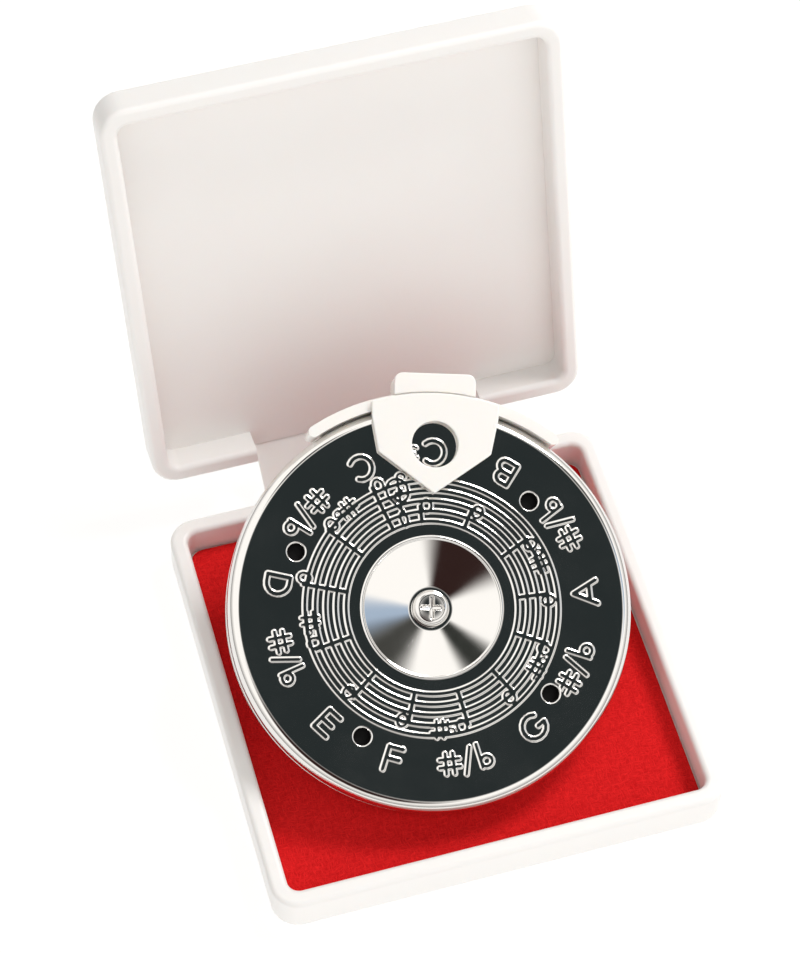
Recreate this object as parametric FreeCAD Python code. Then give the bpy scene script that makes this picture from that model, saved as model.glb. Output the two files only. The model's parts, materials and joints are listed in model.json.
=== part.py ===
import FreeCAD, Part
import math
import os

os.makedirs("parts", exist_ok=True)
V = FreeCAD.Vector

# Round 13-note pitch pipe in its own hinged, felt-lined plastic case.
# Frame: origin at the middle of the case underside, +Z up, +Y toward the hinge,
# +X along the hinge. Millimetres. Shown as displayed: lid open, pipe leaning.

# ---- case
CASE_X = 84.0           # outer width, along the hinge
CASE_Y = 83.0           # outer depth
BASE_H = 9.0            # height of the lower half
LID_H = 8.0             # height of the upper half
WALL = 3.2
FLOOR = 2.0
CORNER_R = 5.0
CORNER_R_IN = 2.2
RIM_R = 1.0             # rounding of the rim
EDGE_R = 1.6            # rounding of the outer back and bottom edges
RIM_GAP = 0.1           # daylight between the two rims when shut
NOTCH_X = 44.0          # gap in both rear walls, clears the mouthpiece
NOTCH_FLOOR = 3.2
FELT_T = 1.0
FELT_INSET = 0.4

# ---- folding strap between the halves
STRAP_W = 42.6
STRAP_T = 1.2
STRAP_OFF = 0.7         # fold line behind the rear wall
FOLD_1_Z = 1.35
FOLD_2_Z = BASE_H + LID_H - FOLD_1_Z
LIP_GAP = 0.1
FOLD_DEG = 54.0         # opening at each fold line

# ---- pipe body (own frame: Z along its axis, 0 at its underside, +Y to the mouthpiece)
PIPE_R = 36.5
PIPE_T = 9.5
SHEET = 0.5
SHOULDER_R = 2.0
SLOT_LOW = 4.15
SLOT_HIGH = 5.35
DISH_R = 12.3
DISH_DEPTH = 2.2
DISH_FLAT_R = 3.7
DISH_FORM = 0.1         # how far the inner skin of the dish stands outside the outer one
BEAD_R = 0.35           # small bead round the dish
NUT_WELL_R = 6.0        # at its deep end
NUT_WELL_FLARE = 1.2
NUT_WELL_FORM = 0.3
NUT_WELL_H = 2.2
NOTES = 13
PITCH = 360.0 / NOTES
VENT_R = 1.25
VENT_AT = 26.3
VENT_STEPS = (2.5, 5.5, 8.5, 11.5)
STAFF_R = (15.4, 17.3, 19.2, 21.1, 23.0)
STAFF_W = 0.5
STAFF_H = 0.15

# ---- reed chambers, plate and reeds
COMB_R = 34.2
COMB_TOP = 5.8
CHAMBER_W = 4.6
CHAMBER_IN = 15.0
CHAMBER_FLOOR = 2.4
BOSS_R = 5.0
BOSS_TOP = PIPE_T - SHEET - DISH_DEPTH
WELL_CLEAR = 1.7        # comb hole round the nut well
PLATE_CLEAR = 0.1       # plate hole round the boss
PLATE_T = 0.8
REED_T = 0.25
REED_W = 2.0
REED_SLOT_W = 2.5
REED_ROOT = 15.8
REED_LONG = 16.2        # tongue of the lowest note
REED_TIP_GAP = 0.3
PAD_W = 3.0
PAD_L = 3.6
RIVET_R = 0.55
RIVET_HEAD_R = 1.0
RIVET_HEAD_H = 0.35
RIVET_AT = 14.0

# ---- centre fastener
BOLT_R = 1.5
BOLT_END = 0.3          # height of the bolt's end above the underside
HOLE_R = 1.7
HEAD_R = 3.35
HEAD_H = 1.9
HEAD_ROUND = 1.1
CROSS_W = 0.8
CROSS_L = 3.6
CROSS_D = 0.9
NUT_FLATS = 5.5
NUT_H = 2.0

# ---- sliding note selector
RING_IN = COMB_R + 0.1  # running fit on the comb
RING_OUT = 35.8
RING_LOW = 1.6
RING_HIGH = 7.9
WEB_LOW = 4.3
WEB_HIGH = 5.2
BAND_IN = 36.9
BAND_OUT = 38.9
BAND_LOW = 2.6
BAND_HIGH = 9.8
BAND_HALF_DEG = 35.0
WEB_HALF_DEG = 33.0
WEB_BITE = 0.3
PORT_W = 4.6
PORT_LOW = 3.2
PORT_HIGH = 5.2
POINTER_T = 1.2
POINTER_OUTLINE = ((11.6, 39.0), (11.5, 34.3), (10.2, 27.7), (0.0, 20.4))
POINTER_ARC_R = 38.6
WINDOW_R = 4.2
WINDOW_AT = 29.3
TAB_W = 14.8
TAB_OUT = 42.3
TAB_LOW = 4.0
TAB_HIGH = 10.3
TAB_ROUND = 1.5
BLOW_W = 8.0
BLOW_LOW = 4.9
BLOW_HIGH = 7.4

# ---- how the pipe leans at rest
LEAN_DEG = 26.0
DIAL_DEG = -14.9
PIPE_X = -1.9
PIPE_Y = 4.6
FELT_TOP = FLOOR + FELT_T
REST_GAP = 0.05

PAST = 1.0              # how far a cutting tool runs past what it cuts

WALL_Y = CASE_Y / 2
FOLD_Y = WALL_Y + STRAP_OFF
PLATE_TOP = COMB_TOP + PLATE_T
REED_TOP = PLATE_TOP + REED_T


def block(x0, x1, y0, y1, z0, z1):
    return Part.makeBox(x1 - x0, y1 - y0, z1 - z0, V(x0, y0, z0))


def tube(r_in, r_out, z0, z1):
    outer = Part.makeCylinder(r_out, z1 - z0, V(0, 0, z0))
    if r_in <= 0:
        return outer
    return outer.cut(Part.makeCylinder(r_in, z1 - z0, V(0, 0, z0)))


def rounded_box(size_x, size_y, z0, z1, radius):
    box = block(-size_x / 2, size_x / 2, -size_y / 2, size_y / 2, z0, z1)
    upright = [e for e in box.Edges if abs(e.tangentAt(e.FirstParameter).z) > 0.99]
    return box.makeFillet(radius, upright)


def edges_at(shape, z):
    return [e for e in shape.Edges
            if abs(e.BoundBox.ZMin - z) < 1e-4 and abs(e.BoundBox.ZMax - z) < 1e-4]


def turned(solid, degrees, axis=V(0, 0, 1), about=V(0, 0, 0)):
    out = solid.copy()
    out.rotate(about, axis, degrees)
    return out


def lathe(start, steps):
    """Turn a closed (radius, height) outline; a step is an end point or (middle, end) of an arc."""
    at = V(start[0], 0, start[1])
    edges = []
    for step in steps:
        if isinstance(step[0], tuple):
            mid, end = (V(p[0], 0, p[1]) for p in step)
            edges.append(Part.Arc(at, mid, end).toShape())
        else:
            end = V(step[0], 0, step[1])
            edges.append(Part.makeLine(at, end))
        at = end
    face = Part.Face(Part.Wire(edges))
    return face.revolve(V(0, 0, 0), V(0, 0, 1), 360)


def sector(r_in, r_out, z0, z1, half_deg):
    """Part of a tube, centred on +Y."""
    piece = Part.makeCylinder(r_out, z1 - z0, V(0, 0, z0), V(0, 0, 1), 2 * half_deg)
    piece = piece.cut(Part.makeCylinder(r_in, z1 - z0, V(0, 0, z0)))
    return turned(piece, 90 - half_deg)


def tray(z_rim, z_back, floor_t):
    """Open shell with rounded corners, rim and back edges; the rim is at z_rim."""
    low, high = min(z_rim, z_back), max(z_rim, z_back)
    shell = rounded_box(CASE_X, CASE_Y, low, high, CORNER_R)
    shell = shell.makeFillet(EDGE_R, edges_at(shell, z_back))
    inside_z = z_back + math.copysign(floor_t, z_rim - z_back)
    pocket = rounded_box(CASE_X - 2 * WALL, CASE_Y - 2 * WALL,
                         min(inside_z, z_rim), max(inside_z, z_rim), CORNER_R_IN)
    shell = shell.cut(pocket)
    return shell.makeFillet(RIM_R, edges_at(shell, z_rim))


# ---- case base
rear_in = WALL_Y - WALL - PAST
base = tray(BASE_H, 0.0, FLOOR)
base = base.cut(block(-NOTCH_X / 2, NOTCH_X / 2, rear_in, WALL_Y + PAST, NOTCH_FLOOR, BASE_H + PAST))
lip_low = block(-STRAP_W / 2, STRAP_W / 2, WALL_Y - WALL, FOLD_Y + STRAP_T / 2,
                0.0, FOLD_1_Z - STRAP_T / 2 - LIP_GAP)
base = base.fuse(lip_low).removeSplitter()

# ---- case lid, drawn shut
lid_rim = BASE_H + RIM_GAP
lid_back = BASE_H + LID_H
lid = tray(lid_rim, lid_back, FLOOR)
lid = lid.cut(block(-NOTCH_X / 2, NOTCH_X / 2, rear_in, WALL_Y + PAST,
                    lid_rim - PAST, lid_back - FLOOR))
lip_high = block(-STRAP_W / 2, STRAP_W / 2, WALL_Y - WALL, FOLD_Y + STRAP_T / 2,
                 FOLD_2_Z + STRAP_T / 2 + LIP_GAP, lid_back)
lid = lid.fuse(lip_high).removeSplitter()

# ---- strap, drawn shut
strap = block(-STRAP_W / 2, STRAP_W / 2, FOLD_Y - STRAP_T / 2, FOLD_Y + STRAP_T / 2, FOLD_1_Z, FOLD_2_Z)
for fold_z in (FOLD_1_Z, FOLD_2_Z):
    roll = Part.makeCylinder(STRAP_T / 2, STRAP_W, V(-STRAP_W / 2, FOLD_Y, fold_z), V(1, 0, 0))
    strap = strap.fuse(roll)
strap = strap.removeSplitter()

# ---- felt lining on the base floor
felt_cut = 2 * WALL + 2 * FELT_INSET
felt = rounded_box(CASE_X - felt_cut, CASE_Y - felt_cut, FLOOR, FELT_TOP, CORNER_R_IN)

# ---- open the two fold lines
fold_1 = V(0, FOLD_Y, FOLD_1_Z)
fold_2 = V(0, FOLD_Y, FOLD_2_Z)
along_hinge = V(1, 0, 0)
strap = turned(strap, -FOLD_DEG, along_hinge, fold_1)
lid = turned(lid, -FOLD_DEG, along_hinge, fold_2)
lid = turned(lid, -FOLD_DEG, along_hinge, fold_1)

# ---- pressed covers
r_arc = PIPE_R - SHOULDER_R
k = SHOULDER_R * math.sqrt(0.5)
k_in = (SHOULDER_R - SHEET) * math.sqrt(0.5)
z_arc = PIPE_T - SHOULDER_R
top_in = PIPE_T - SHEET
dish_z = PIPE_T - DISH_DEPTH
top_cover = lathe((PIPE_R, SLOT_HIGH), [
    (PIPE_R, z_arc),
    ((r_arc + k, z_arc + k), (r_arc, PIPE_T)),
    (DISH_R + 2 * BEAD_R, PIPE_T),
    ((DISH_R + BEAD_R, PIPE_T + BEAD_R / 2), (DISH_R, PIPE_T)),
    (DISH_FLAT_R, dish_z),
    (HOLE_R, dish_z),
    (HOLE_R, dish_z - SHEET),
    (DISH_FLAT_R + DISH_FORM, dish_z - SHEET),
    (DISH_R + DISH_FORM, top_in),
    (r_arc, top_in),
    ((r_arc + k_in, z_arc + k_in), (PIPE_R - SHEET, z_arc)),
    (PIPE_R - SHEET, SLOT_HIGH),
    (PIPE_R, SLOT_HIGH)])
for ring_r in STAFF_R:
    top_cover = top_cover.fuse(tube(ring_r - STAFF_W / 2, ring_r + STAFF_W / 2,
                                    PIPE_T - SHEET / 2, PIPE_T + STAFF_H))
for step in VENT_STEPS:
    vent = Part.makeCylinder(VENT_R, 2 * SHEET, V(0, VENT_AT, top_in - SHEET / 2))
    top_cover = top_cover.cut(turned(vent, step * PITCH))

well_skin = NUT_WELL_H + SHEET
bottom_cover = lathe((PIPE_R, SLOT_LOW), [
    (PIPE_R, SHOULDER_R),
    ((r_arc + k, SHOULDER_R - k), (r_arc, 0.0)),
    (NUT_WELL_R + NUT_WELL_FLARE, 0.0),
    (NUT_WELL_R, NUT_WELL_H),
    (HOLE_R, NUT_WELL_H),
    (HOLE_R, well_skin),
    (NUT_WELL_R + NUT_WELL_FORM, well_skin),
    (NUT_WELL_R + NUT_WELL_FLARE + NUT_WELL_FORM, SHEET),
    (r_arc, SHEET),
    ((r_arc + k_in, SHOULDER_R - k_in), (PIPE_R - SHEET, SHOULDER_R)),
    (PIPE_R - SHEET, SLOT_LOW),
    (PIPE_R, SLOT_LOW)])

# ---- moulded comb with one wind chamber per note
comb = tube(0, COMB_R, SHEET, COMB_TOP)
comb = comb.fuse(tube(0, BOSS_R, COMB_TOP - PAST, BOSS_TOP))
comb = comb.cut(tube(0, NUT_WELL_R + WELL_CLEAR, 0.0, well_skin))
comb = comb.cut(tube(0, HOLE_R, 0.0, BOSS_TOP + PAST))
for n in range(NOTES):
    chamber = block(-CHAMBER_W / 2, CHAMBER_W / 2, CHAMBER_IN, COMB_R + PAST, CHAMBER_FLOOR, COMB_TOP)
    comb = comb.cut(turned(chamber, n * PITCH))

# ---- reed plate, reeds and their rivets; the reed at +Y is the highest note
reed_names = ["high_c", "c", "c_sharp", "d", "d_sharp", "e", "f",
              "f_sharp", "g", "g_sharp", "a", "a_sharp", "b"]
plate = tube(BOSS_R + PLATE_CLEAR, COMB_R, COMB_TOP, PLATE_TOP)
reeds = {}
rivets = []
for n, name in enumerate(reed_names):
    semitones = (n - 1) % NOTES
    tongue = REED_LONG * 2 ** (-semitones / 24.0)
    slot = block(-REED_SLOT_W / 2, REED_SLOT_W / 2, REED_ROOT, REED_ROOT + tongue + REED_TIP_GAP,
                 COMB_TOP, PLATE_TOP)
    plate = plate.cut(turned(slot, n * PITCH))
    pad = block(-PAD_W / 2, PAD_W / 2, REED_ROOT - PAD_L, REED_ROOT, PLATE_TOP, REED_TOP)
    blade = block(-REED_W / 2, REED_W / 2, REED_ROOT - PAD_L / 2, REED_ROOT + tongue, PLATE_TOP, REED_TOP)
    hole = Part.makeCylinder(RIVET_R, PLATE_T + REED_T, V(0, RIVET_AT, COMB_TOP))
    reeds[name] = turned(pad.fuse(blade).removeSplitter().cut(hole), n * PITCH)
    plate = plate.cut(turned(hole, n * PITCH))
    head = Part.makeCylinder(RIVET_HEAD_R, RIVET_HEAD_H, V(0, RIVET_AT, REED_TOP))
    rivets.append(turned(hole.fuse(head).removeSplitter(), n * PITCH))

# ---- centre screw and nut
head = Part.makeCylinder(HEAD_R, HEAD_H, V(0, 0, dish_z))
head = head.makeFillet(HEAD_ROUND, edges_at(head, dish_z + HEAD_H))
screw = head.fuse(Part.makeCylinder(BOLT_R, dish_z - BOLT_END, V(0, 0, BOLT_END))).removeSplitter()
for quarter in (0, 90):
    cross = block(-CROSS_L / 2, CROSS_L / 2, -CROSS_W / 2, CROSS_W / 2,
                  dish_z + HEAD_H - CROSS_D, dish_z + HEAD_H)
    screw = screw.cut(turned(cross, quarter))
hex_r = NUT_FLATS / math.sqrt(3)
hex_points = [V(hex_r * math.cos(math.radians(a)), hex_r * math.sin(math.radians(a)), NUT_WELL_H - NUT_H)
              for a in range(0, 361, 60)]
nut = Part.Face(Part.makePolygon(hex_points)).extrude(V(0, 0, NUT_H))
nut = nut.cut(Part.makeCylinder(BOLT_R, NUT_H, V(0, 0, NUT_WELL_H - NUT_H)))

# ---- selector: shutter ring with its port, band, pointer plate and mouthpiece
port = block(-PORT_W / 2, PORT_W / 2, COMB_R - PAST, BAND_OUT + PAST, PORT_LOW, PORT_HIGH)
ring = tube(RING_IN, RING_OUT, RING_LOW, RING_HIGH)
web = sector(RING_OUT - WEB_BITE, BAND_IN, WEB_LOW, WEB_HIGH, WEB_HALF_DEG)
ring = ring.fuse(web).removeSplitter()
ring = ring.cut(port)

band = sector(BAND_IN, BAND_OUT, BAND_LOW, BAND_HIGH, BAND_HALF_DEG)
mid_r = (BAND_IN + BAND_OUT) / 2
for side in (-BAND_HALF_DEG, BAND_HALF_DEG):
    end = Part.makeCylinder((BAND_OUT - BAND_IN) / 2, BAND_HIGH - BAND_LOW, V(0, mid_r, BAND_LOW))
    band = band.fuse(turned(end, side))
band = band.removeSplitter().cut(port)

right_side = [V(x, y, BAND_HIGH) for x, y in POINTER_OUTLINE]
left_side = [V(-x, y, BAND_HIGH) for x, y in reversed(POINTER_OUTLINE[:-1])]
outline = right_side + left_side + right_side[:1]
pointer = Part.Face(Part.makePolygon(outline)).extrude(V(0, 0, POINTER_T))
pointer = pointer.common(Part.makeCylinder(POINTER_ARC_R, PIPE_T * 2))
pointer = pointer.cut(Part.makeCylinder(WINDOW_R, PIPE_T * 2, V(0, WINDOW_AT, 0)))

tab = block(-TAB_W / 2, TAB_W / 2, BAND_IN, TAB_OUT, TAB_LOW, TAB_HIGH)
outer_uprights = [e for e in tab.Edges
                  if abs(e.tangentAt(e.FirstParameter).z) > 0.99 and e.BoundBox.YMin > TAB_OUT - SHEET]
tab = tab.makeFillet(TAB_ROUND, outer_uprights)
tab = tab.cut(Part.makeCylinder(BAND_OUT, PIPE_T * 2))
funnel = block(-BLOW_W / 2, BLOW_W / 2, BAND_IN, TAB_OUT, BLOW_LOW, BLOW_HIGH)
tab = tab.cut(funnel).cut(port)

# ---- lean the pipe in the tray
lean = math.radians(LEAN_DEG)
PIPE_Z = (FELT_TOP + REST_GAP + SHOULDER_R
          + r_arc * math.sin(lean) - SHOULDER_R * math.cos(lean))


def leaned(solid):
    out = turned(solid, DIAL_DEG)
    out = turned(out, LEAN_DEG, V(1, 0, 0))
    out.translate(V(PIPE_X, PIPE_Y, PIPE_Z))
    return out


nodes = {
    "case_base": base,
    "case_lid": lid,
    "hinge_strap": strap,
    "felt_liner": felt,
    "top_cover": leaned(top_cover),
    "bottom_cover": leaned(bottom_cover),
    "reed_body": leaned(comb),
    "reed_plate": leaned(plate),
    "reed_rivets": Part.makeCompound([leaned(r) for r in rivets]),
    "centre_screw": leaned(screw),
    "centre_nut": leaned(nut),
    "selector_ring": leaned(ring),
    "selector_band": leaned(band),
    "selector_pointer": leaned(pointer),
    "mouthpiece": leaned(tab),
}
for name, reed in reeds.items():
    nodes["reed_" + name] = leaned(reed)

for name, shape in nodes.items():
    shape.exportStep("parts/" + name + ".step")
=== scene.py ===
# %% [markdown]
# # A round pitch pipe leaning in its open case
# The object is a thirteen-note reed pitch pipe with chromed covers and a white selector,
# in a white plastic case with red felt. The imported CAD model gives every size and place.
# This file adds what CAD can't: embossed lettering, pressed shoulders, felt and finishes.

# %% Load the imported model
import json
import math

import bmesh
import bpy
import numpy as np
from mathutils import Matrix, Vector

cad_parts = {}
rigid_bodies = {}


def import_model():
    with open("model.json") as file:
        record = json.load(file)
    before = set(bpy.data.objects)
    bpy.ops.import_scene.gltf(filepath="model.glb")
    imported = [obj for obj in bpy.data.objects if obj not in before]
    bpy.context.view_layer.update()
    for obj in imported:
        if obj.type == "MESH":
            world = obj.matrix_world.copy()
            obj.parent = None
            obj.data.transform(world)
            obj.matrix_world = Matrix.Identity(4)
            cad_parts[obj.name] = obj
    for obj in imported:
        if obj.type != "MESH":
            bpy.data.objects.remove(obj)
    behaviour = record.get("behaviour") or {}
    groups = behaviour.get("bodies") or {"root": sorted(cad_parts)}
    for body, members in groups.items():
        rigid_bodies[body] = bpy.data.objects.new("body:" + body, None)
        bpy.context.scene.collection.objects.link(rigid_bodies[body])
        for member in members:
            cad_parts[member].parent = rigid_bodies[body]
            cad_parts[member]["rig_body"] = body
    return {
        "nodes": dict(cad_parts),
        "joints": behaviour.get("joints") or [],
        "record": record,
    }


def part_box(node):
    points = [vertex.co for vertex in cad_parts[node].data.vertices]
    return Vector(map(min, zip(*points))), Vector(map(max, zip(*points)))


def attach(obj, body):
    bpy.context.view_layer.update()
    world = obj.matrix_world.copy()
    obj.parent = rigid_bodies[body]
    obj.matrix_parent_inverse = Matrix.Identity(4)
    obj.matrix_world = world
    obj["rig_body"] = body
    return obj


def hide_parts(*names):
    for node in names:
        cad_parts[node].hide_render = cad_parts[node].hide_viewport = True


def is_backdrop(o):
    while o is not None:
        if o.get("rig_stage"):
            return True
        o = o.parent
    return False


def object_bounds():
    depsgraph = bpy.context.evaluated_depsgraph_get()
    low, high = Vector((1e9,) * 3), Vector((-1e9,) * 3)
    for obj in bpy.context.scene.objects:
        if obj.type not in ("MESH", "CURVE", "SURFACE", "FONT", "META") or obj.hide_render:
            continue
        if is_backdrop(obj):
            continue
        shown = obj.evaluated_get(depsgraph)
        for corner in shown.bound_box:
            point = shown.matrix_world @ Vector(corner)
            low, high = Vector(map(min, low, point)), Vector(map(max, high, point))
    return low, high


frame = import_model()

cad_low, cad_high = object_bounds()
MM = 0.001
print("CAD box in mm", [round(v / MM, 1) for v in (*cad_low, *cad_high)])

# %% [markdown]
# ## Where the pipe lies
# The pipe leans, so its pieces are easiest to draw flat and then turned into place.
# The selector's joint gives the pipe's middle and its axis. The pointer's own vertices
# give the direction of the note that is selected, as the middle of the angles they span.

# %% The pipe's own axes
joint = next(j for j in frame["joints"] if j["name"] == "selector_turn")
pipe_middle = np.array(joint["pos_m"])
pipe_up = np.array(joint["axis"]) / np.linalg.norm(joint["axis"])
level = np.array([1.0, 0.0, 0.0])
uphill = np.cross(pipe_up, level)


def node_points(node):
    """All vertices of a CAD node as an array of rows x, y, z in metres."""
    mesh = frame["nodes"][node].data
    flat = np.empty(len(mesh.vertices) * 3, np.float32)
    mesh.vertices.foreach_get("co", flat)
    return flat.reshape(-1, 3).astype(float)


pointer = node_points("selector_pointer") - pipe_middle
angles = np.arctan2(pointer @ uphill, pointer @ level)
dial = (angles.min() + angles.max()) / 2
to_note = math.cos(dial) * level + math.sin(dial) * uphill
across = np.cross(to_note, pipe_up)
PIPE_AXES = np.stack([across, to_note, pipe_up])
print("dial turned by", round(math.degrees(dial) - 90, 2), "degrees")


def in_place(points_mm):
    """Pipe millimetres to the row frame: middle + x across + y to_note + z pipe_up."""
    return pipe_middle + (np.asarray(points_mm) * MM) @ PIPE_AXES


# %% [markdown]
# ## Camera
# A long lens from above and a little to the left, rolled by about a degree, as someone
# stands over a table. The case shows its inside and the round face is seen nearly
# square on. The view and right directions come from fitting the case's corners.

# %% Place the camera
CAMERA_AT = Vector((-0.0915, -0.2727, 0.5130))
CAMERA_FORWARD = Vector((0.1577, 0.5183, -0.8406)).normalized()
CAMERA_RIGHT = Vector((0.9567, -0.2912, 0.0)).normalized()
CAMERA_ROLL = 1.15      # degrees
LENS = 142.1            # mm, on a frame SENSOR wide
SENSOR = 36.0
FRAME_RAISED = 0.0105   # share of the frame's width, which keeps the lid's corner in view

camera_data = bpy.data.cameras.new("camera")
camera_data.sensor_fit = "HORIZONTAL"
camera_data.sensor_width = SENSOR
camera_data.lens = LENS
camera_data.clip_start = 0.01
camera_data.shift_y = FRAME_RAISED
camera = bpy.data.objects.new("camera", camera_data)
bpy.context.scene.collection.objects.link(camera)
level_up = CAMERA_RIGHT.cross(CAMERA_FORWARD)
roll = math.radians(CAMERA_ROLL)
camera_x = CAMERA_RIGHT * math.cos(roll) + level_up * math.sin(roll)
camera_y = level_up * math.cos(roll) - CAMERA_RIGHT * math.sin(roll)
turn = Matrix((camera_x, camera_y, -CAMERA_FORWARD)).transposed().to_4x4()
camera.matrix_world = Matrix.Translation(CAMERA_AT) @ turn
bpy.context.scene.camera = camera
print("camera at", [round(v, 4) for v in CAMERA_AT])

# %% [markdown]
# ## Colours and nodes
# Colours are written as sRGB hex, the way a paint chart gives them, and turned to the
# linear numbers that light needs. One helper adds a node, so that every material
# below reads as a list of nodes and what feeds them.


# %% Two helpers for materials
def linear(chart):
    """sRGB hex to linear RGBA: the sRGB curve undone on each of the three channels."""
    srgb = np.array([int(chart[i:i + 2], 16) for i in (1, 3, 5)]) / 255
    lin = np.where(srgb <= 0.04045, srgb / 12.92, ((srgb + 0.055) / 1.055) ** 2.4)
    return (*lin.tolist(), 1.0)


def add(tree, kind, feeds=(), **settings):
    """Add a node; feeds is (socket, value or the output socket that is linked to it)."""
    node = tree.nodes.new(kind)
    for key, value in settings.items():
        setattr(node, key, value)
    for key, value in feeds:
        if isinstance(value, bpy.types.NodeSocket):
            tree.links.new(value, node.inputs[key])
        else:
            node.inputs[key].default_value = value
    return node


def new_material(name):
    """An empty material and its node tree, with the surface output ready."""
    mat = bpy.data.materials.new(name)
    mat.use_nodes = True
    mat.node_tree.nodes.clear()
    add(mat.node_tree, "ShaderNodeOutputMaterial", name="out")
    return mat, mat.node_tree


def finish_material(tree, shader):
    """Link a shader to the material's surface output."""
    tree.links.new(shader.outputs[0], tree.nodes["out"].inputs["Surface"])


PER_MM = 1000.0     # a noise scale of 1 / metre times this is one feature per millimetre

# %% [markdown]
# ## Bright chrome plate on pressed sheet
# Nickel and chrome plated by the barrel: a mirror with a faint warm grey body. A true
# mirror looks drawn by computer, so a weak noise lifts the roughness here and there
# where fingers and cloths have dulled it, and a very low bump bends the reflections
# as thin pressed sheet does.

# %% Chrome
chrome, tree = new_material("chrome plated pressed steel")
where = add(tree, "ShaderNodeTexCoord").outputs["Object"]
smear = add(tree, "ShaderNodeTexNoise", [("Vector", where), ("Scale", 0.09 * PER_MM),
                                         ("Detail", 5.0), ("Roughness", 0.65)])
dull = add(tree, "ShaderNodeMapRange", [("Value", smear.outputs["Fac"]), ("From Min", 0.35),
                                        ("From Max", 0.75), ("To Min", 0.045), ("To Max", 0.10)])
wave = add(tree, "ShaderNodeTexNoise", [("Vector", where), ("Scale", 0.16 * PER_MM),
                                        ("Detail", 1.0)])
ripple = add(tree, "ShaderNodeBump", [("Height", wave.outputs["Fac"]), ("Strength", 1.0),
                                      ("Distance", 0.015 * MM)])
plate = add(tree, "ShaderNodeBsdfPrincipled",
            [("Base Color", linear("#e6e4e1")), ("Metallic", 1.0),
             ("Roughness", dull.outputs["Result"]), ("Normal", ripple.outputs["Normal"])])
finish_material(tree, plate)

# %% [markdown]
# ## Moulded white plastics
# The case is polypropylene, which bends at a living hinge without breaking: satin,
# slightly waxy and a touch warm, with light that soaks a little way in. The selector
# is a harder polystyrene with a gloss from a polished mould.

# %% Case and selector plastics
case_plastic, tree = new_material("moulded polypropylene, satin white")
where = add(tree, "ShaderNodeTexCoord").outputs["Object"]
grain = add(tree, "ShaderNodeTexNoise", [("Vector", where), ("Scale", 2.2 * PER_MM),
                                         ("Detail", 3.0)])
cloud = add(tree, "ShaderNodeTexNoise", [("Vector", where), ("Scale", 0.05 * PER_MM),
                                         ("Detail", 2.0)])
tint = add(tree, "ShaderNodeMix", [("Factor", cloud.outputs["Fac"]), (6, linear("#f2efec")),
                                   (7, linear("#f5f3f0"))], data_type="RGBA")
satin = add(tree, "ShaderNodeMapRange", [("Value", cloud.outputs["Fac"]), ("To Min", 0.30),
                                         ("To Max", 0.42)])
skin = add(tree, "ShaderNodeBump", [("Height", grain.outputs["Fac"]), ("Strength", 0.25),
                                    ("Distance", 0.03 * MM)])
waxy = add(tree, "ShaderNodeBsdfPrincipled",
           [("Base Color", tint.outputs[2]), ("Roughness", satin.outputs["Result"]), ("IOR", 1.49),
            ("Subsurface Weight", 0.2), ("Subsurface Radius", (1.0, 0.85, 0.75)),
            ("Subsurface Scale", 1.5 * MM), ("Normal", skin.outputs["Normal"])])
finish_material(tree, waxy)

selector_plastic, tree = new_material("moulded polystyrene, white gloss")
where = add(tree, "ShaderNodeTexCoord").outputs["Object"]
flow = add(tree, "ShaderNodeTexNoise", [("Vector", where), ("Scale", 0.35 * PER_MM),
                                        ("Detail", 2.0)])
polish = add(tree, "ShaderNodeMapRange", [("Value", flow.outputs["Fac"]), ("To Min", 0.14),
                                          ("To Max", 0.24)])
gloss = add(tree, "ShaderNodeBsdfPrincipled",
            [("Base Color", linear("#f7f3ee")), ("Roughness", polish.outputs["Result"]),
             ("IOR", 1.55), ("Subsurface Weight", 0.2), ("Subsurface Radius", (1.0, 0.75, 0.55)),
             ("Subsurface Scale", 1.0 * MM)])
finish_material(tree, gloss)

# %% [markdown]
# ## Red felt
# Pressed wool felt has no weave. Close up it is a tangle of fibres: short streaks in
# every direction. Two stretched noises at right angles draw the streaks as a low bump,
# and the same heights paint the red lighter on raised fibres and darker in the hollows
# between: painted light and painted shade. Sheen gives the soft edge light.

# %% Felt
felt_cloth, tree = new_material("pressed wool felt, red")
where = add(tree, "ShaderNodeTexCoord").outputs["Object"]
warp = add(tree, "ShaderNodeTexNoise", [("Vector", where), ("Scale", 0.4 * PER_MM),
                                        ("Detail", 2.0)])
swirl = add(tree, "ShaderNodeVectorMath",
            [(0, warp.outputs["Color"]), (1, (1.6 * MM, 1.6 * MM, 0.0))], operation="MULTIPLY")
wandering = add(tree, "ShaderNodeVectorMath", [(0, where), (1, swirl.outputs[0])], operation="ADD")
long_x = add(tree, "ShaderNodeVectorMath", [(0, wandering.outputs[0]), (1, (0.35, 2.4, 1.0))],
             operation="MULTIPLY")
long_y = add(tree, "ShaderNodeVectorMath", [(0, wandering.outputs[0]), (1, (2.4, 0.35, 1.0))],
             operation="MULTIPLY")
fibre_x = add(tree, "ShaderNodeTexNoise", [("Vector", long_x.outputs[0]), ("Scale", 2.6 * PER_MM),
                                           ("Detail", 4.0)])
fibre_y = add(tree, "ShaderNodeTexNoise", [("Vector", long_y.outputs[0]), ("Scale", 2.6 * PER_MM),
                                           ("Detail", 4.0)])
tangle = add(tree, "ShaderNodeMath", [(0, fibre_x.outputs["Fac"]), (1, fibre_y.outputs["Fac"])],
             operation="MAXIMUM")
lift = add(tree, "ShaderNodeMapRange", [("Value", tangle.outputs[0]), ("From Min", 0.42),
                                        ("From Max", 0.72)])
# The lighter and darker reds follow the fibre height: painted highlight on raised fibres, painted shade in
# the hollows.
fibre_light_and_shade = add(tree, "ShaderNodeMix", [("Factor", lift.outputs["Result"]), (6, linear("#ca1216")),
                                  (7, linear("#ee2626"))], data_type="RGBA")
pile = add(tree, "ShaderNodeBump", [("Height", lift.outputs["Result"]), ("Strength", 0.45),
                                    ("Distance", 0.12 * MM)])
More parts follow.
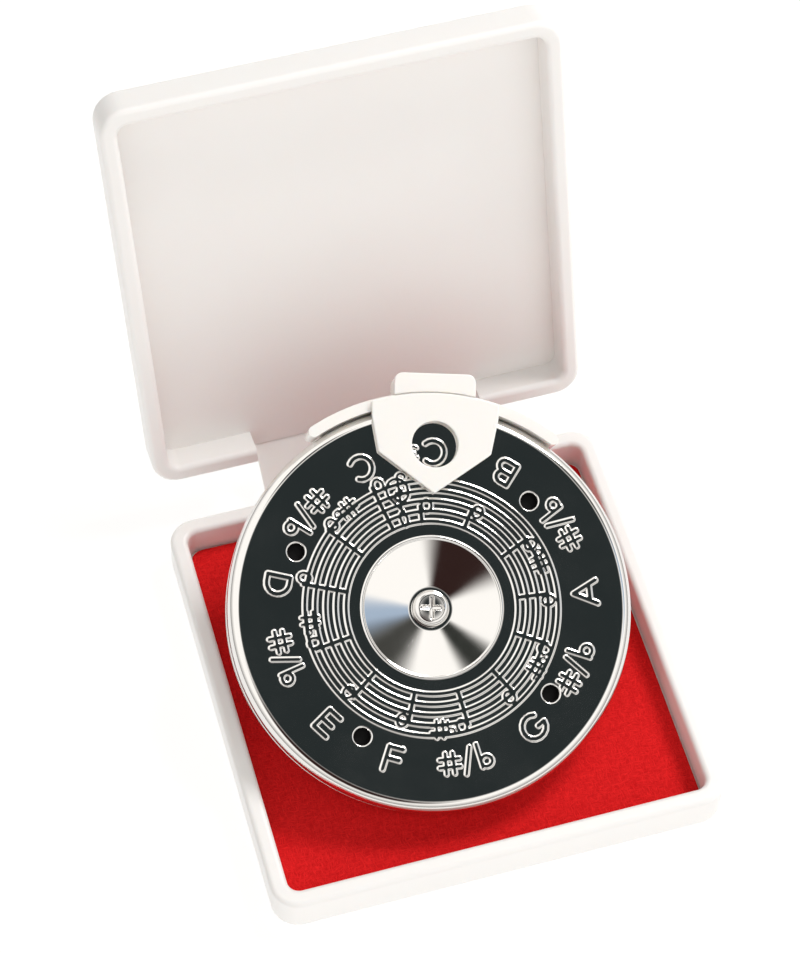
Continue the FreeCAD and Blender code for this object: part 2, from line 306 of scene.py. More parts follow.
wool = add(tree, "ShaderNodeBsdfPrincipled",
           [("Base Color", fibre_light_and_shade.outputs[2]), ("Roughness", 0.95), ("Specular IOR Level", 0.15),
            ("Sheen Weight", 0.12), ("Sheen Roughness", 0.5), ("Sheen Tint", linear("#d83a36")),
            ("Normal", pile.outputs["Normal"])])
finish_material(tree, wool)

# %% [markdown]
# ## Hidden metals and the comb
# Rolled brass for the reeds and their plate, black moulded plastic for the comb, and
# bright zinc for the nut. They show only in a glimpse through a vent or from below. The
# black is nearly without gloss. The vent wells get this black too, as painted shade for
# the dark inside of the pipe, so that a vent's walls stay dark.

# %% Brass, comb and zinc
brass, tree = new_material("rolled reed brass")
where = add(tree, "ShaderNodeTexCoord").outputs["Object"]
rolled = add(tree, "ShaderNodeTexNoise", [("Vector", where), ("Scale", 0.8 * PER_MM),
                                          ("Detail", 3.0)])
mill = add(tree, "ShaderNodeMapRange", [("Value", rolled.outputs["Fac"]), ("To Min", 0.22),
                                        ("To Max", 0.4)])
finish_material(tree, add(tree, "ShaderNodeBsdfPrincipled",
                          [("Base Color", linear("#d9b36c")), ("Metallic", 1.0),
                           ("Roughness", mill.outputs["Result"])]))

comb_and_vent_shade_black, tree = new_material("moulded ABS, black")
where = add(tree, "ShaderNodeTexCoord").outputs["Object"]
spark = add(tree, "ShaderNodeTexNoise", [("Vector", where), ("Scale", 3.0 * PER_MM),
                                         ("Detail", 2.0)])
rough = add(tree, "ShaderNodeMapRange", [("Value", spark.outputs["Fac"]), ("To Min", 0.45),
                                         ("To Max", 0.6)])
finish_material(tree, add(tree, "ShaderNodeBsdfPrincipled",
                          [("Base Color", linear("#0c0b0b")), ("Specular IOR Level", 0.15),
                           ("Roughness", rough.outputs["Result"])]))

zinc, tree = new_material("bright zinc plate")
where = add(tree, "ShaderNodeTexCoord").outputs["Object"]
spangle = add(tree, "ShaderNodeTexVoronoi", [("Vector", where), ("Scale", 1.5 * PER_MM)])
sheen = add(tree, "ShaderNodeMapRange", [("Value", spangle.outputs["Distance"]), ("To Min", 0.25),
                                         ("To Max", 0.4)])
finish_material(tree, add(tree, "ShaderNodeBsdfPrincipled",
                          [("Base Color", linear("#c4c6c8")), ("Metallic", 1.0),
                           ("Roughness", sheen.outputs["Result"])]))

# %% [markdown]
# ## Dress the CAD pieces
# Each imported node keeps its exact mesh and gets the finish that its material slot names.

# %% Finishes by slot
FINISHES = {"case_plastic": case_plastic, "strap_plastic": case_plastic, "red_felt": felt_cloth,
            "cover_chrome": chrome, "screw_chrome": chrome, "nut_steel": zinc,
            "comb_plastic": comb_and_vent_shade_black, "reed_brass": brass, "selector_plastic": selector_plastic}
slot_of = {s["node"]: s["material_slot"] for s in frame["record"]["subparts"]}
for node, piece in frame["nodes"].items():
    piece.data.materials.clear()
    piece.data.materials.append(FINISHES[slot_of[node]])
print("dressed", len(slot_of), "CAD nodes")

# %% [markdown]
# ## Building surfaces from numpy grids
# Most new pieces are a grid of points that closes on itself: rings of a profile turned
# round an axis, or a plate whose top, wall and underside are one loop. One function
# turns such a grid into a mesh with whole-array index arithmetic.


# %% From a grid to a mesh piece
def grid_faces(rows, columns, close_rows, close_columns):
    """Quads of a grid: each joins (i, j), (i + 1, j), (i + 1, j + 1) and (i, j + 1)."""
    i = np.arange(rows if close_rows else rows - 1)[:, None]
    j = np.arange(columns if close_columns else columns - 1)[None, :]
    i2, j2 = (i + 1) % rows, (j + 1) % columns
    corners = [i * columns + j, i2 * columns + j, i2 * columns + j2, i * columns + j2]
    shape = np.broadcast_shapes(i.shape, j.shape)
    return np.stack([np.broadcast_to(c, shape) for c in corners], -1).reshape(-1, 4)


def piece_from(name, points, faces, ngons, finish, body, sharp_deg=50):
    """A mesh piece in metres from points, an array of quads and a list of many-sided faces."""
    mesh = bpy.data.meshes.new(name)
    loops = np.concatenate([faces.ravel()] + [np.asarray(n) for n in ngons])
    sizes = np.concatenate([np.full(len(faces), 4), [len(n) for n in ngons]]).astype(np.int32)
    starts = np.concatenate([[0], np.cumsum(sizes)[:-1]]).astype(np.int32)
    mesh.vertices.add(len(points))
    mesh.loops.add(len(loops))
    mesh.polygons.add(len(sizes))
    mesh.vertices.foreach_set("co", np.asarray(points, np.float32).ravel())
    mesh.loops.foreach_set("vertex_index", loops.astype(np.int32))
    mesh.polygons.foreach_set("loop_start", starts)
    mesh.update(calc_edges=True)
    mesh.validate()
    mesh.shade_smooth()
    mesh.set_sharp_from_angle(angle=math.radians(sharp_deg))
    mesh.materials.append(finish)
    piece = bpy.data.objects.new(name, mesh)
    bpy.context.scene.collection.objects.link(piece)
    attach(piece, body)
    print(name, "has", len(points), "points")
    return piece


def turned_ring(name, profile, finish, body, columns):
    """A closed (radius, height) profile turned round the axis: x = r cos a, y = r sin a, z = h."""
    profile = np.asarray(profile, float)
    around = np.linspace(0, 2 * np.pi, columns, endpoint=False)
    r, h = profile[:, 0][:, None], profile[:, 1][:, None]
    points = np.stack([r * np.cos(around), r * np.sin(around), h + 0 * around], -1)
    faces = grid_faces(len(profile), columns, True, True)
    return piece_from(name, in_place(points.reshape(-1, 3)), faces, [], finish, body)


def arc(middle, radius, start_deg, end_deg, count=14):
    """Points on an arc: middle + radius times (cos a, sin a), a running from start to end."""
    a = np.radians(np.linspace(start_deg, end_deg, count))
    return np.stack([middle[0] + radius * np.cos(a), middle[1] + radius * np.sin(a)], 1)


# %% [markdown]
# ## The cover's shoulder, skirt and dish
# The covers are drawn in a press: a flat face, a round shoulder, a straight skirt, and a
# shallow cone in the middle for the screw. Turned profiles give perfectly smooth
# shoulders, which chrome needs, because every facet would show in its reflections. Each
# profile is a list of (radius, height) points in mm, and the underside is at height 0. A
# profile is run backwards where that turns its faces outward.

# %% Pressed covers
FACE_Z, SHEET = 9.5, 0.5
RIM_R, SHOULDER = 36.5, 2.0
FLAT_R, DISH_EDGE_R = 34.5, 13.0
SLOT_TOP, SLOT_BOTTOM = 5.35, 4.15
FINE_TURN, COARSE_TURN = 720, 360       # points round a ring

shoulder_mid = (RIM_R - SHOULDER, FACE_Z - SHOULDER)
hem_mid_top = (RIM_R - SHEET / 2, SLOT_TOP + SHEET / 2)
rim_profile = np.concatenate([
    arc(hem_mid_top, SHEET / 2, 180, 360, 9),
    arc(shoulder_mid, SHOULDER, 0, 90, 28),
    arc(shoulder_mid, SHOULDER - SHEET, 90, 0, 16)])[::-1]
cover_rim = turned_ring("cover_rim", rim_profile, chrome, "pipe", FINE_TURN)

BEAD, CONE_FOOT_R, SCREW_HOLE_R, DISH_DEPTH = 0.35, 3.7, 1.7, 2.2
cone_top = np.array((12.25, 9.38))
cone_foot = np.array((CONE_FOOT_R + 0.35, FACE_Z - DISH_DEPTH + 0.03))
share = np.array([0, 0.01, 0.03, 0.1, 0.25, 0.5, 0.75, 0.9, 0.97, 0.99, 1])[:, None]
dish_profile = np.concatenate([
    [(DISH_EDGE_R, FACE_Z)],
    arc((DISH_EDGE_R - BEAD, FACE_Z - 0.22), 0.38, 62, 140, 10),
    cone_top + share * (cone_foot - cone_top),
    [(CONE_FOOT_R, FACE_Z - DISH_DEPTH)],
    [(SCREW_HOLE_R, FACE_Z - DISH_DEPTH), (SCREW_HOLE_R, FACE_Z - DISH_DEPTH - SHEET),
     (CONE_FOOT_R, FACE_Z - DISH_DEPTH - SHEET), (DISH_EDGE_R - 0.6, FACE_Z - SHEET),
     (DISH_EDGE_R, FACE_Z - SHEET)]])[::-1]
cover_dish = turned_ring("cover_dish", dish_profile, chrome, "pipe", COARSE_TURN)

WELL_R, WELL_FLARE, WELL_H = 6.0, 1.2, 2.2
low_mid = (RIM_R - SHOULDER, SHOULDER)
under_profile = np.concatenate([
    arc((RIM_R - SHEET / 2, SLOT_BOTTOM - SHEET / 2), SHEET / 2, 0, 180, 9),
    arc(low_mid, SHOULDER - SHEET, 0, -90, 16),
    [(WELL_R + WELL_FLARE + 0.3, SHEET), (WELL_R + 0.3, WELL_H + SHEET),
     (SCREW_HOLE_R, WELL_H + SHEET), (SCREW_HOLE_R, WELL_H)],
    arc((WELL_R - 0.3, WELL_H - 0.4), 0.4, 90, 28, 6),
    arc((WELL_R + WELL_FLARE + 0.5, 0.5), 0.5, 208, 270, 6),
    arc(low_mid, SHOULDER, -90, 0, 28)])[::-1]
under_cover = turned_ring("under_cover", under_profile, chrome, "pipe", FINE_TURN)
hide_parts("bottom_cover")

# %% [markdown]
# ## The centre screw
# A pan head stamped with a cross recess. The recess is deepest in the middle, and its
# walls are rounded over, so the chrome on it breaks into small light and dark spots. An
# arm's depth is a smooth step of the distance to its centre line, less toward its end.

# %% Screw
HEAD_R, HEAD_H, HEAD_ROUND, HEAD_CROWN = 3.35, 1.9, 1.1, 0.14
BOLT_R, BOLT_END = 1.5, 0.3
ARM_HALF, ARM_LENGTH, ARM_DEPTH, ARM_EDGE = 0.36, 1.75, 0.85, 0.30
POLE_R = 0.03                           # the middle is closed by one small face
CROWN_RINGS, SCREW_TURN = 72, 256
head_foot = FACE_Z - DISH_DEPTH
head_top = head_foot + HEAD_H
crown_r = HEAD_R - HEAD_ROUND
head_profile = np.concatenate([
    np.stack([np.linspace(POLE_R, crown_r, CROWN_RINGS), np.full(CROWN_RINGS, head_top)], 1),
    arc((crown_r, head_top - HEAD_ROUND), HEAD_ROUND, 88, 0, 18),
    [(HEAD_R, head_foot), (BOLT_R, head_foot), (BOLT_R, BOLT_END)]])
around = np.linspace(0, 2 * np.pi, SCREW_TURN, endpoint=False)
r, h = head_profile[:, 0][:, None], head_profile[:, 1][:, None]
x, y = r * np.cos(around), r * np.sin(around)
arm_gap = np.minimum(np.hypot(x, np.maximum(np.abs(y) - ARM_LENGTH, 0)),
                     np.hypot(y, np.maximum(np.abs(x) - ARM_LENGTH, 0))) - ARM_HALF
t = np.clip(0.5 - arm_gap / ARM_EDGE, 0, 1)
sunk = ARM_DEPTH * (1 - 0.5 * np.clip(r / ARM_LENGTH, 0, 1)) * t * t * (3 - 2 * t)
on_crown = h > head_top - HEAD_ROUND
z = h - np.where(on_crown, sunk + HEAD_CROWN * np.clip(r / crown_r, 0, 1) ** 2, 0)
rings = np.stack([x, y, z], -1)
rows = len(rings)
screw_caps = [np.arange(SCREW_TURN)[::-1], (rows - 1) * SCREW_TURN + np.arange(SCREW_TURN)]
screw = piece_from("screw_pan_head", in_place(rings.reshape(-1, 3)),
                   grid_faces(rows, SCREW_TURN, False, True), screw_caps,
                   chrome, "pipe", sharp_deg=70)
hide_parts("centre_screw")

# %% [markdown]
# ## Drawing the embossed marks
# The press also raises a stave of five rings, the notes with their stems, a clef, and the
# note letters. All are strokes of one height. Each stroke is a run of straight pieces,
# and the distance from a point of the face to its nearest stroke gives the height there.
# The marks are drawn in a letter's own plane and then bent round the face: u runs
# counter-clockwise, the way the notes rise, and v runs toward the middle.

# %% The strokes
NOTES = 13
PITCH = 360 / NOTES
LETTER_R = 28.0
BROAD, FINE, STAVE_HALF = 0.46, 0.36, 0.43
STAVE_RINGS = np.array([15.5, 17.35, 19.2, 21.05, 22.9])


def loop(u, v, ru, rv, start=0.0, end=360.0, count=15):
    """An ellipse or a part of one: (u + ru cos a, v + rv sin a)."""
    a = np.radians(np.linspace(start, end, count))
    return np.stack([u + ru * np.cos(a), v + rv * np.sin(a)], 1)


GLYPHS = {
    "C": [loop(0.2, 0, 2.05, 2.1, 48, 312)],
    "D": [np.concatenate([[(-1.6, -2.05), (-1.6, 2.05), (-0.3, 2.05)],
                          loop(-0.3, 0, 2.0, 2.05, 90, -90, 11), [(-1.6, -2.05)]])],
    "E": [np.array([(1.45, 2.05), (-1.3, 2.05), (-1.3, -2.05), (1.45, -2.05)]),
          np.array([(-1.3, 0), (1.1, 0)])],
    "F": [np.array([(1.45, 2.05), (-1.3, 2.05), (-1.3, -2.2)]), np.array([(-1.3, 0), (1.1, 0)])],
    "G": [np.concatenate([loop(0, 0, 2.15, 2.15, 48, 348), [(0.75, -0.35)]])],
    "A": [np.array([(-1.95, -2.1), (0, 2.2), (1.95, -2.1)]), np.array([(-1.2, -0.75), (1.2, -0.75)])],
    "B": [np.concatenate([[(-1.4, -2.05), (-1.4, 2.05), (0.3, 2.05)],
                          loop(0.3, 1.05, 1.0, 1.0, 90, -90, 8), [(-1.4, 0.05)]]),
          np.concatenate([[(0.3, 0.05)], loop(0.5, -1.0, 1.1, 1.05, 90, -90, 8), [(-1.4, -2.05)]])]}
SHARP = [np.array([(-0.62, -1.6), (-0.62, 1.6)]), np.array([(0.62, -1.6), (0.62, 1.6)]),
         np.array([(-1.6, -0.62), (1.6, -0.62)]), np.array([(-1.6, 0.62), (1.6, 0.62)])]
SLASH = [np.array([(-0.75, -2.2), (0.75, 2.2)])]
FLAT = [np.array([(-0.75, 2.1), (-0.75, -1.6)]), loop(0.1, -0.85, 0.85, 0.85)]
THREE = [np.concatenate([loop(0, 0.58, 0.55, 0.55, 150, -90, 8), loop(0, -0.58, 0.6, 0.6, 90, -150, 8)])]
ORDER = ["C", "C", "", "D", "", "E", "F", "", "G", "", "A", "", "B"]
HEAD_AT = np.array([18.3, 23.9, 23.2, 23.5, 22.1, 21.4, 20.9, 21.8, 21.2, 21.6, 21.1, 21.3, 19.1])
HEAD_DEG = np.array([4.0, -2.7, -3.5, -4.6, -2.6, -2.1, -0.4, 1.0, 0.3, 1.7, -2.0, -0.9, 2.9])


def bent(stroke, angle_deg, radius, scale=1.0):
    """Bend a flat stroke round the face: its radius is radius - v and its angle grows by u / radius."""
    stroke = np.asarray(stroke, float) * scale
    r = radius - stroke[:, 1]
    a = np.radians(angle_deg) + stroke[:, 0] / radius
    return np.stack([-r * np.sin(a), r * np.cos(a)], 1)


strokes = []
for k, letter in enumerate(ORDER):
    at = k * PITCH
    if letter:
        strokes += [(bent(s, at, LETTER_R), BROAD) for s in GLYPHS[letter]]
    else:
        for mark, shift, size in ((SHARP, -3.3, 1.15), (SLASH, 0.1, 1.05), (FLAT, 3.1, 1.15)):
            strokes += [(bent(s * size + (shift, 0), at, LETTER_R), 0.4) for s in mark]
    head, head_deg = HEAD_AT[k], at + HEAD_DEG[k]
    strokes.append((bent(loop(0, 0, 0.9, 1.12), head_deg, head), FINE))
    stem_foot = [(1.15, 0.0), (1.15, head - 15.5)]
    strokes.append((bent(stem_foot, head_deg, head), BROAD))
    if not letter:
        strokes += [(bent(s, head_deg - 10.6, head, 0.95), FINE) for s in SHARP]
        strokes += [(bent(s, head_deg - 5.3, head, 0.62), FINE * 0.8) for s in FLAT]
strokes += [(bent(s + (3.6, 0), 0, LETTER_R, 1.0), FINE * 0.85) for s in THREE]

CLEF_DEG = 17.0
clef = [np.concatenate([loop(0, -1.3, 0.5, 0.7, 250, 0, 6), loop(-0.25, -1.1, 1.35, 1.6, 20, 200, 8),
                        loop(0.2, -1.6, 1.8, 2.2, 190, 380, 10), [(1.2, 0.6), (0.2, 2.2)],
                        loop(0.55, 3.6, 0.75, 1.3, 210, -90, 10), [(-0.3, -3.6)],
                        loop(-0.9, -3.9, 0.6, 0.6, 0, -200, 8)])]
strokes += [(bent(s, CLEF_DEG, 20.2), FINE) for s in clef]
print("strokes:", len(strokes), "with", sum(len(s) - 1 for s, _ in strokes), "straight pieces")

# %% [markdown]
# The height is a smooth step across the edge of the nearest stroke, so each raised line
# gets a flat top with two rounded sides. The flat top mirrors the same dark place as the
# face, and only the sides catch the light, which is why each line looks doubled.

# %% Height of the face
EMBOSS, SIDE = 0.15, 0.24
VENT_AT, VENT_R, VENT_DEPTH = 26.3, 1.42, 1.75
VENT_BEVEL = 0.42
PLATE_UNDER = 7.6
VENT_TURNS = (2.5, 5.5, 8.5, 11.5)      # in note steps from the highest note
STROKE_REACH, FAR, TINY = 1.2, 9.0, 1e-9


def stroke_gap(x, y):
    """Distance to the nearest stroke's edge: to the nearest point of each piece, less half its width."""
    gap = np.abs(np.hypot(x, y)[..., None] - STAVE_RINGS).min(-1) - STAVE_HALF
    for line, half in strokes:
        low, high = line.min(0) - STROKE_REACH, line.max(0) + STROKE_REACH
        near = (x > low[0]) & (x < high[0]) & (y > low[1]) & (y < high[1])
        px, py = x[near], y[near]
        best = np.full(px.shape, FAR)
        for (ax, ay), (bx, by) in zip(line[:-1], line[1:]):
            dx, dy = bx - ax, by - ay
            t = np.clip(((px - ax) * dx + (py - ay) * dy) / max(dx * dx + dy * dy, TINY), 0, 1)
            best = np.minimum(best, np.hypot(px - ax - t * dx, py - ay - t * dy))
        gap[near] = np.minimum(gap[near], best - half)
    return gap


def face_height(x, y):
    """Face height + emboss * smooth step of the stroke edge, then let down into each vent."""
    t = np.clip(0.5 - stroke_gap(x, y) / SIDE, 0, 1)
    z = FACE_Z + EMBOSS * t * t * (3 - 2 * t)
    for turns in VENT_TURNS:
        a = math.radians(turns * PITCH)
        rho = np.hypot(x + VENT_AT * math.sin(a), y - VENT_AT * math.cos(a))
        fall = np.clip((VENT_R + VENT_BEVEL - rho) / VENT_BEVEL, 0, 1)
        bevel = np.where(rho < VENT_R, FACE_Z - VENT_DEPTH, FACE_Z - VENT_BEVEL * fall ** 2)
        z = np.where(rho > VENT_R + VENT_BEVEL + 0.08, z, bevel)
    return z


# %% [markdown]
# The flat annulus is cut into four plates so that each grid is fine enough to carry the
# edges of the strokes, about a tenth of a millimetre a step. A plate's top, outer wall,
# underside and inner wall are one closed loop of points, repeated round the face, and
# its two ends are closed by single faces.

# %% Embossed plates
SEAM_R = 25.35
STAVE_GRID, LETTER_GRID = (134, 700), (96, 960)     # points across and along
WELL_EDGE, SAME_HEIGHT = 0.04, 0.02


def plate_piece(name, r_in, r_out, start_deg, end_deg, across_count, along_count):
    """A thick sector: radius from r_in to r_out, angle from start to end, top at face_height.

    Faces whose middle lies in a vent's well get the black instead of the chrome: painted shade for the dark
    inside of the pipe.
    """
    r = np.linspace(r_in, r_out, across_count)
    a = np.radians(np.linspace(start_deg, end_deg, along_count))
    x, y = -r[:, None] * np.sin(a), r[:, None] * np.cos(a)
    top = np.stack([x, y, face_height(x, y)], -1)
    under = np.stack([x[[-1, 0]], y[[-1, 0]], np.full((2, along_count), PLATE_UNDER)], -1)
    rings = np.concatenate([top, under])
    rows = len(rings)
    faces = grid_faces(rows, along_count, True, False)
    first = np.arange(rows) * along_count
    last = first + along_count - 1
    piece = piece_from(name, in_place(rings.reshape(-1, 3)), faces, [first, last[::-1]],
                       chrome, "pipe", sharp_deg=62)
    # The black on the vent wells is painted shade for the dark inside of the pipe.
    piece.data.materials.append(comb_and_vent_shade_black)
    middles = rings.reshape(-1, 3)[faces].mean(1)
    vent_shade_faces = np.zeros(len(piece.data.polygons), np.int32)
    for turns in VENT_TURNS:
        t = math.radians(turns * PITCH)
        rho = np.hypot(middles[:, 0] + VENT_AT * math.sin(t), middles[:, 1] - VENT_AT * math.cos(t))
        in_well = (rho < VENT_R + WELL_EDGE) & (middles[:, 2] > PLATE_UNDER + SAME_HEIGHT)
        vent_shade_faces[:len(faces)] |= in_well.astype(np.int32)
    piece.data.polygons.foreach_set("material_index", vent_shade_faces)
    return piece


plates = []
for half, (start, end) in enumerate(((0, 180), (180, 360))):
    plates.append(plate_piece(f"stave_plate_{half + 1}", DISH_EDGE_R, SEAM_R, start, end, *STAVE_GRID))
    plates.append(plate_piece(f"letter_plate_{half + 1}", SEAM_R, FLAT_R, start, end, *LETTER_GRID))
for piece in [cover_rim, cover_dish] + plates:
    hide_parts("top_cover")

# %% [markdown]
# ## Softened edges on moulded pieces
# A mould never gives a knife edge. The selector's pieces are copies of their CAD shapes
# with the loose triangles joined and a small round worked along every sharp edge.


# %% Rounded copies
SAME_POINT = 0.002 * MM
FLAT_DEG, SHARP_DEG, ROUNDED_DEG = 0.6, 35, 40


def softened(node, width_mm):
    """A copy of a CAD node, its doubles merged and its flats dissolved, with a bevel modifier."""
    source = frame["nodes"][node]
    mesh = source.data.copy()
    work = bmesh.new()
    work.from_mesh(mesh)
    bmesh.ops.remove_doubles(work, verts=work.verts, dist=SAME_POINT)
    bmesh.ops.dissolve_limit(work, angle_limit=math.radians(FLAT_DEG),
                             verts=work.verts, edges=work.edges)
    work.to_mesh(mesh)
    work.free()
    mesh.shade_smooth()
    mesh.set_sharp_from_angle(angle=math.radians(SHARP_DEG))
    piece = bpy.data.objects.new(node + "_moulded", mesh)
    bpy.context.scene.collection.objects.link(piece)
    bevel = piece.modifiers.new("edge", "BEVEL")
    bevel.width = width_mm * MM
    bevel.segments = 3
    bevel.limit_method = "ANGLE"
    bevel.angle_limit = math.radians(ROUNDED_DEG)
    bevel.harden_normals = True
    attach(piece, source["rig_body"])
    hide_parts(node)
    print(piece.name, "softened by", width_mm, "mm")
    return piece


for node, width in (("selector_pointer", 0.28), ("mouthpiece", 0.35), ("selector_band", 0.25)):
    softened(node, width)

# %% [markdown]
# ## The felt liner
# A sheet of felt cut to the tray's floor and laid in it. Its edge is soft and its face is
# not quite flat: low swells a few hundredths of a millimetre high catch the light. The
# plan is a rounded rectangle swept from the middle, and the section is a thin lens edge.

# %% Felt sheet
felt_low, felt_high = (np.array(v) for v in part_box("felt_liner"))
half_x, half_y = (felt_high - felt_low)[:2] / 2
centre = (felt_high + felt_low)[:2] / 2
rng = np.random.default_rng(7)


def rounded_plan(a, half_x, half_y, corner):
    """How far a rounded rectangle reaches in direction a.

    To the nearer straight side, or in a corner along the ray to the corner's circle:
    (corner centre . ray) + sqrt(corner^2 - (corner centre x ray)^2).
    """
    c, s = np.abs(np.cos(a)), np.abs(np.sin(a))
    straight = np.minimum(half_x / np.maximum(c, TINY), half_y / np.maximum(s, TINY))
    cx, cy = half_x - corner, half_y - corner
    along = cx * c + cy * s
    off = np.maximum(corner ** 2 - (cx * s - cy * c) ** 2, 0)
    in_corner = (straight * c > cx) & (straight * s > cy)
    return np.where(in_corner, along + np.sqrt(off), straight)


FELT_TURN, FELT_CORNER, FELT_EDGE, SWELL, SWELLS = 480, 2.2 * MM, 0.35 * MM, 0.04 * MM, 9
around = np.linspace(0, 2 * np.pi, FELT_TURN, endpoint=False)
reach = rounded_plan(around, half_x, half_y, FELT_CORNER)
steps = np.concatenate([np.linspace(0.02, 0.985, 60), [0.992, 0.997, 1.0]])[:, None]
swell = [(rng.uniform(60, 260, 2), rng.uniform(0, 6.3)) for _ in range(SWELLS)]
x = centre[0] + steps * reach * np.cos(around)
y = centre[1] + steps * reach * np.sin(around)
roll_off = np.clip((1 - steps) * reach / FELT_EDGE, 0, 1)
waves = sum(np.sin(x * f[0] + y * f[1] + p) for f, p in swell) / SWELLS
z = felt_high[2] - FELT_EDGE * (1 - np.sqrt(1 - (1 - roll_off) ** 2)) - SWELL + SWELL * waves
top = np.stack([x, y, z], -1)
under = np.stack([x[[-1, 0]], y[[-1, 0]], np.full((2, FELT_TURN), felt_low[2])], -1)
rings = np.concatenate([top, under])
rows = len(rings)
faces = grid_faces(rows, FELT_TURN, False, True)
cap_top = np.arange(FELT_TURN)
cap_under = (rows - 1) * FELT_TURN + np.arange(FELT_TURN)[::-1]
felt = piece_from("felt_sheet", rings.reshape(-1, 3), faces, [cap_top, cap_under],
                  felt_cloth, "case")
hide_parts("felt_liner")

# %% [markdown]
# ## Floor
# An opal table lit from below. Its glow keeps the shadows faint and the ground white.

# %% Floor
FLOOR_HALF, TABLE_GLOW = 1.6, 0.84
FLOOR_POINTS = 9
across_floor = np.linspace(-FLOOR_HALF, FLOOR_HALF, FLOOR_POINTS)
fx, fy = np.meshgrid(across_floor, across_floor, indexing="ij")
floor_points = np.stack([fx, fy, 0 * fx], -1).reshape(-1, 3)
floor_faces = grid_faces(FLOOR_POINTS, FLOOR_POINTS, False, False)
floor_mesh = bpy.data.meshes.new("floor")
floor_mesh.from_pydata(floor_points.tolist(), [], floor_faces.tolist())
floor = bpy.data.objects.new("floor", floor_mesh)
bpy.context.scene.collection.objects.link(floor)
floor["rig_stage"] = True
opal, tree = new_material("opal acrylic table lit from below")
where = add(tree, "ShaderNodeTexCoord").outputs["Object"]
tooth = add(tree, "ShaderNodeTexNoise", [("Vector", where), ("Scale", 0.5 * PER_MM),
                                         ("Detail", 3.0)])
tone = add(tree, "ShaderNodeMix", [("Factor", tooth.outputs["Fac"]), (6, linear("#888886")),
                                   (7, linear("#8c8c8b"))], data_type="RGBA")
finish_material(tree, add(tree, "ShaderNodeBsdfPrincipled",
                          [("Base Color", tone.outputs[2]), ("Roughness", 0.9), ("Specular IOR Level", 0.1),
                           ("Emission Color", linear("#fffefd")), ("Emission Strength", TABLE_GLOW)]))
floor_mesh.materials.append(opal)

# %% [markdown]
# ## Dome
# Chrome shows only what is round it, so the bright dome carries a dark patch where the
# flat face looks, which is back past the camera, and four smaller ones that give the dish
# its wedges. In mirrors the dome dims toward the horizon, which gives the rim its darker
# line. For the light that falls on dull surfaces it is dimmer than it looks, so that the
# softboxes can model them.

# %% Dome with its dark patches
to_camera = -np.array(CAMERA_FORWARD)


def mirrored(normal):
    """Where a mirror with this normal looks from the camera: 2 (n . v) n - v."""
    normal = normal / np.linalg.norm(normal)
    return 2 * (normal @ to_camera) * normal - to_camera


right_on_face = np.array(camera_x) - (np.array(camera_x) @ pipe_up) * pipe_up
right_on_face /= np.linalg.norm(right_on_face)
up_on_face = np.cross(pipe_up, right_on_face)
CONE_TILT = math.atan2(cone_top[1] - cone_foot[1], cone_top[0] - cone_foot[0])


def seen_in_cone(clock_deg):
    """Where the dish's cone looks at an angle counted counter-clockwise from the right."""
    a = math.radians(clock_deg)
    outward = math.cos(a) * right_on_face + math.sin(a) * up_on_face
    return mirrored(math.cos(CONE_TILT) * pipe_up - math.sin(CONE_TILT) * outward)


DOME_SEEN, HORIZON_SEEN, DOME_LIGHT = 1.26, 0.30, 0.42
FULL_SKY = 0.55  # sine of the height above the horizon where the dome is at its full strength
PATCHES = [      # where, half angle, soft edge, colour
    (mirrored(pipe_up), 12.0, 6.0, "#272d2e"),
    (seen_in_cone(62), 14.5, 5.0, "#30201e"),
    (seen_in_cone(186), 5.0, 6.0, "#a4b6cc"),
    (seen_in_cone(218), 9.0, 6.0, "#42423f"),
    (seen_in_cone(314), 7.0, 3.5, "#30322f"),
]
world = bpy.data.worlds.new("studio dome")
bpy.context.scene.world = world
world.use_nodes = True
tree = world.node_tree
tree.nodes.clear()
view = add(tree, "ShaderNodeTexCoord").outputs["Generated"]
colour = add(tree, "ShaderNodeRGB")
colour.outputs[0].default_value = linear("#fffdfa")
seen = colour.outputs[0]
for direction, half, edge, shade in PATCHES:
    facing = add(tree, "ShaderNodeVectorMath", [(0, view), (1, tuple(direction))], operation="DOT_PRODUCT")
    inside = add(tree, "ShaderNodeMapRange",
                 [("Value", facing.outputs["Value"]), ("From Min", math.cos(math.radians(half + edge))),
                  ("From Max", math.cos(math.radians(half - edge)))], interpolation_type="SMOOTHSTEP")
    patch = add(tree, "ShaderNodeMix",
                [("Factor", inside.outputs["Result"]), (6, seen), (7, linear(shade))],
                data_type="RGBA")
    seen = patch.outputs[2]
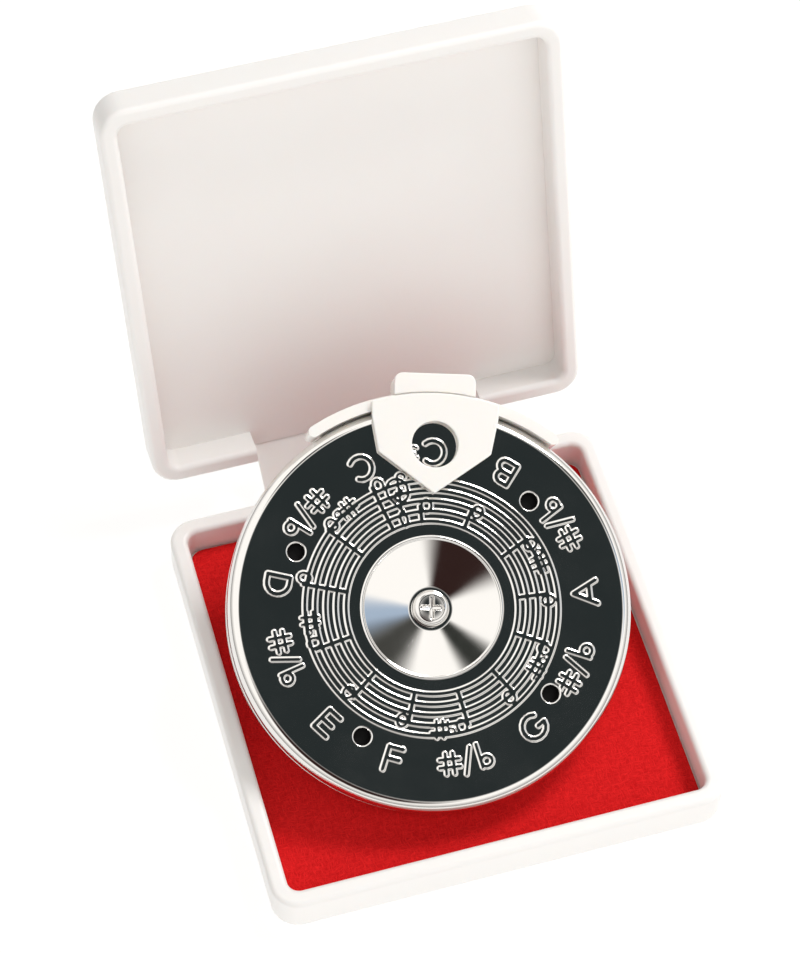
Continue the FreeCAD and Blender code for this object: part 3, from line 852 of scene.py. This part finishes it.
ray = add(tree, "ShaderNodeLightPath")
height = add(tree, "ShaderNodeSeparateXYZ", [("Vector", view)]).outputs["Z"]
low_sky = add(tree, "ShaderNodeMapRange", [("Value", height), ("From Min", 0.0), ("From Max", FULL_SKY),
                                           ("To Min", HORIZON_SEEN), ("To Max", DOME_SEEN)])
mirrored_sky = add(tree, "ShaderNodeMix", [(0, ray.outputs["Is Glossy Ray"]), (2, DOME_SEEN),
                                           (3, low_sky.outputs["Result"])])
strength = add(tree, "ShaderNodeMix", [(0, ray.outputs["Is Diffuse Ray"]), (2, mirrored_sky.outputs[0]),
                                       (3, DOME_LIGHT)])
background = add(tree, "ShaderNodeBackground", [("Color", seen), ("Strength", strength.outputs[0])])
add(tree, "ShaderNodeOutputWorld", [("Surface", background.outputs[0])])

# %% [markdown]
# ## Softboxes
# The key stands to the right and behind, so that the pipe's shadow falls to the left and
# forward. Two large fills in front light the inside of the lid. They are kept out of
# mirrors, where their edges would cut across the round face.


# %% Softboxes
def softbox(name, at, size, power):
    """A square area light at a point, turned to face the object."""
    data = bpy.data.lights.new(name, "AREA")
    data.size = size
    data.energy = power
    lamp = bpy.data.objects.new(name, data)
    bpy.context.scene.collection.objects.link(lamp)
    aim = Vector((0, 0, 0.02)) - Vector(at)
    lamp.matrix_world = Matrix.Translation(at) @ aim.to_track_quat("-Z", "Y").to_matrix().to_4x4()
    return lamp


KEY_SIZE, FILL_SIZE = 0.30, 1.50        # metres
softbox("key", (0.52, 0.22, 0.80), KEY_SIZE, 4.9)
for side, at, power in (("right", (0.35, -0.85, 0.55), 4.8), ("left", (-0.55, -0.75, 0.80), 3.4)):
    softbox("fill " + side, at, FILL_SIZE, power).visible_glossy = False
bpy.context.scene.view_settings.view_transform = "Standard"
bpy.context.scene.view_settings.look = "None"
print("studio ready")

# %% Sizes and checks
low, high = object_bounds()
grown = [round((a - b) / MM, 2) for a, b in zip((*cad_low, *high), (*low, *cad_high))]
print("visual model stands outside the CAD box by, in mm:", grown)
